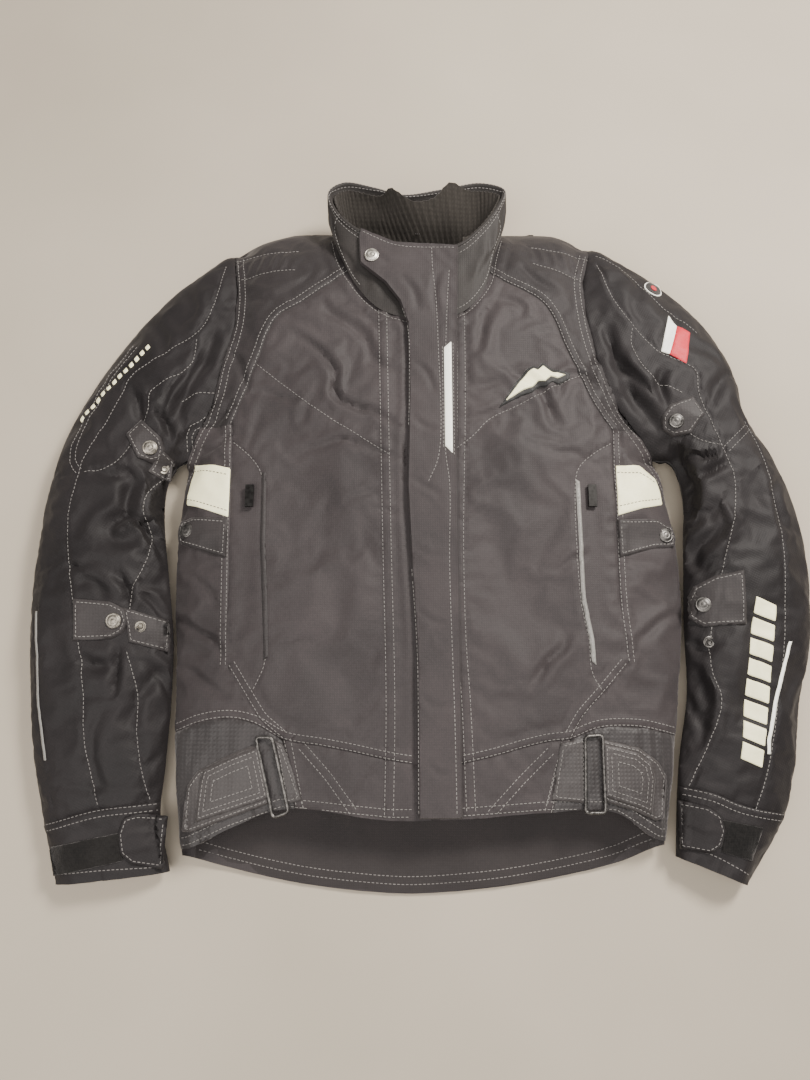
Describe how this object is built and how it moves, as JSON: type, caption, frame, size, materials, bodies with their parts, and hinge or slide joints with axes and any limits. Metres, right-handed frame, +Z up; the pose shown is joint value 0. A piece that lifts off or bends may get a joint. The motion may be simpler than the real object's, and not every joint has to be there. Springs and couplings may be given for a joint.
{
  "type": "textile riding jacket",
  "caption": "Zip-front textile riding jacket lying flat, with snap storm flap, waist and cuff adjusters, reflective trim and armour pockets.",
  "frame": {"origin": "centre of the jacket's footprint, on the surface it lies on", "axes": "+X towards the wearer's left, +Y towards the collar, +Z up out of the front; the jacket lies on its back"},
  "size_m": [0.771, 0.72, 0.0727],
  "materials": {
    "shell": "soft satin nylon twill",
    "panel": "matte nylon",
    "elastic": "gathered elastic nylon",
    "knit": "ribbed knit",
    "webbing": "stitched webbing",
    "reflective": "reflective cloth",
    "foam": "soft armour foam",
    "zip_tape": "woven zip tape",
    "hook_and_loop": "fuzzy loop pile",
    "snap": "antique silver plating",
    "dark_metal": "dark plated"
  },
  "bodies": {
    "jacket": {"back_panel": "shell", "yoke_right": "panel", "yoke_left": "panel", "front_panel_right": "shell", "front_panel_left": "shell", "side_panel_right": "panel", "side_panel_left": "panel", "elastic_waist_right": "elastic", "elastic_waist_left": "elastic", "hem_panel_right": "shell", "hem_panel_left": "shell", "collar_outer": "shell", "collar_rib": "knit", "main_zip_chain": "zip_tape", "back_pad": "foam", "pocket_piping_right": "reflective", "reflector_right": "reflective", "waist_belt_right": "webbing", "waist_ring_right": "dark_metal", "waist_keeper_right": "webbing", "pocket_piping_left": "reflective", "reflector_left": "reflective", "waist_belt_left": "webbing", "waist_ring_left": "dark_metal", "waist_keeper_left": "webbing"},
    "storm_flap": {"storm_flap": "shell", "flap_piping": "reflective", "collar_snap_cap": "snap"},
    "main_zip_slider": {"main_zip_slider": "dark_metal", "main_zip_pull": "dark_metal"},
    "pocket_slider_right": {"pocket_slider_right": "dark_metal"},
    "side_tab_right": {"side_tab_right": "panel", "side_snap_right": "dark_metal"},
    "belt_tail_right": {"belt_tail_right": "webbing"},
    "sleeve_right": {"upper_sleeve_right": "shell", "forearm_right": "shell", "cuff_right": "shell", "cuff_loop_right": "hook_and_loop", "shoulder_pad_right": "foam", "elbow_pad_right": "foam"},
    "upper_tab_right": {"upper_tab_right": "panel", "upper_snap_right": "snap"},
    "forearm_tab_right": {"forearm_tab_right": "panel", "forearm_snap_right": "snap"},
    "cuff_tab_right": {"cuff_tab_right": "panel"},
    "pocket_slider_left": {"pocket_slider_left": "dark_metal"},
    "side_tab_left": {"side_tab_left": "panel", "side_snap_left": "dark_metal"},
    "belt_tail_left": {"belt_tail_left": "webbing"},
    "sleeve_left": {"upper_sleeve_left": "shell", "forearm_left": "shell", "cuff_left": "shell", "cuff_loop_left": "hook_and_loop", "shoulder_pad_left": "foam", "elbow_pad_left": "foam"},
    "upper_tab_left": {"upper_tab_left": "panel", "upper_snap_left": "snap"},
    "forearm_tab_left": {"forearm_tab_left": "panel", "forearm_snap_left": "snap"},
    "cuff_tab_left": {"cuff_tab_left": "panel"}
  },
  "joints": [
    {"name": "storm_flap_hinge", "type": "hinge", "parent": "jacket", "child": "storm_flap", "pos_m": [0.0362, 0, 0.0622], "axis": [0, 0.9996, 0.0275], "range_deg": [0, 160]},
    {"name": "main_zip_slide", "type": "slide", "parent": "jacket", "child": "main_zip_slider", "axis": [0, -0.9996, -0.0275], "range_m": [0, 0.43]},
    {"name": "pocket_zip_slide_right", "type": "slide", "parent": "jacket", "child": "pocket_slider_right", "axis": [0, -0.9996, -0.0268], "range_m": [0, 0.11]},
    {"name": "side_tab_hinge_right", "type": "hinge", "parent": "jacket", "child": "side_tab_right", "pos_m": [-0.1905, -0.03, 0.0538], "axis": [0, 1, 0], "range_deg": [0, 110]},
    {"name": "belt_tail_hinge_right", "type": "hinge", "parent": "jacket", "child": "belt_tail_right", "pos_m": [-0.1443, -0.251, 0.0516], "axis": [-0.231, 0.973, 0], "range_deg": [0, 150]},
    {"name": "sleeve_swing_right", "type": "hinge", "parent": "jacket", "child": "sleeve_right", "pos_m": [-0.2035, 0.305, 0.025], "axis": [0, 0, -1], "range_deg": [0, 6]},
    {"name": "upper_tab_hinge_right", "type": "hinge", "parent": "sleeve_right", "child": "upper_tab_right", "pos_m": [-0.291, 0.084, 0.0566], "axis": [-0.658, -0.753, 0], "range_deg": [0, 120]},
    {"name": "forearm_tab_hinge_right", "type": "hinge", "parent": "sleeve_right", "child": "forearm_tab_right", "pos_m": [-0.3315, -0.11, 0.0519], "axis": [0.079, -0.9969, 0], "range_deg": [0, 120]},
    {"name": "cuff_tab_hinge_right", "type": "hinge", "parent": "sleeve_right", "child": "cuff_tab_right", "pos_m": [-0.2405, -0.312, 0.02], "axis": [-0.2735, 0.9619, 0], "range_deg": [0, 50]},
    {"name": "pocket_zip_slide_left", "type": "slide", "parent": "jacket", "child": "pocket_slider_left", "axis": [0, -0.9997, -0.0256], "range_m": [0, 0.11]},
    {"name": "side_tab_hinge_left", "type": "hinge", "parent": "jacket", "child": "side_tab_left", "pos_m": [0.1935, -0.03, 0.0538], "axis": [0, -1, 0], "range_deg": [0, 110]},
    {"name": "belt_tail_hinge_left", "type": "hinge", "parent": "jacket", "child": "belt_tail_left", "pos_m": [0.1645, -0.249, 0.0511], "axis": [-0.0185, -0.9998, 0], "range_deg": [0, 150]},
    {"name": "sleeve_swing_left", "type": "hinge", "parent": "jacket", "child": "sleeve_left", "pos_m": [0.187, 0.313, 0.025], "axis": [0, 0, 1], "range_deg": [0, 6]},
    {"name": "upper_tab_hinge_left", "type": "hinge", "parent": "sleeve_left", "child": "upper_tab_left", "pos_m": [0.281, 0.108, 0.0566], "axis": [-0.4472, 0.8944, 0], "range_deg": [0, 120]},
    {"name": "forearm_tab_hinge_left", "type": "hinge", "parent": "sleeve_left", "child": "forearm_tab_left", "pos_m": [0.31, -0.088, 0.053], "axis": [0, 1, 0], "range_deg": [0, 120]},
    {"name": "cuff_tab_hinge_left", "type": "hinge", "parent": "sleeve_left", "child": "cuff_tab_left", "pos_m": [0.2365, -0.297, 0.02], "axis": [-0.0905, -0.9959, 0], "range_deg": [0, 50]}
  ]
}
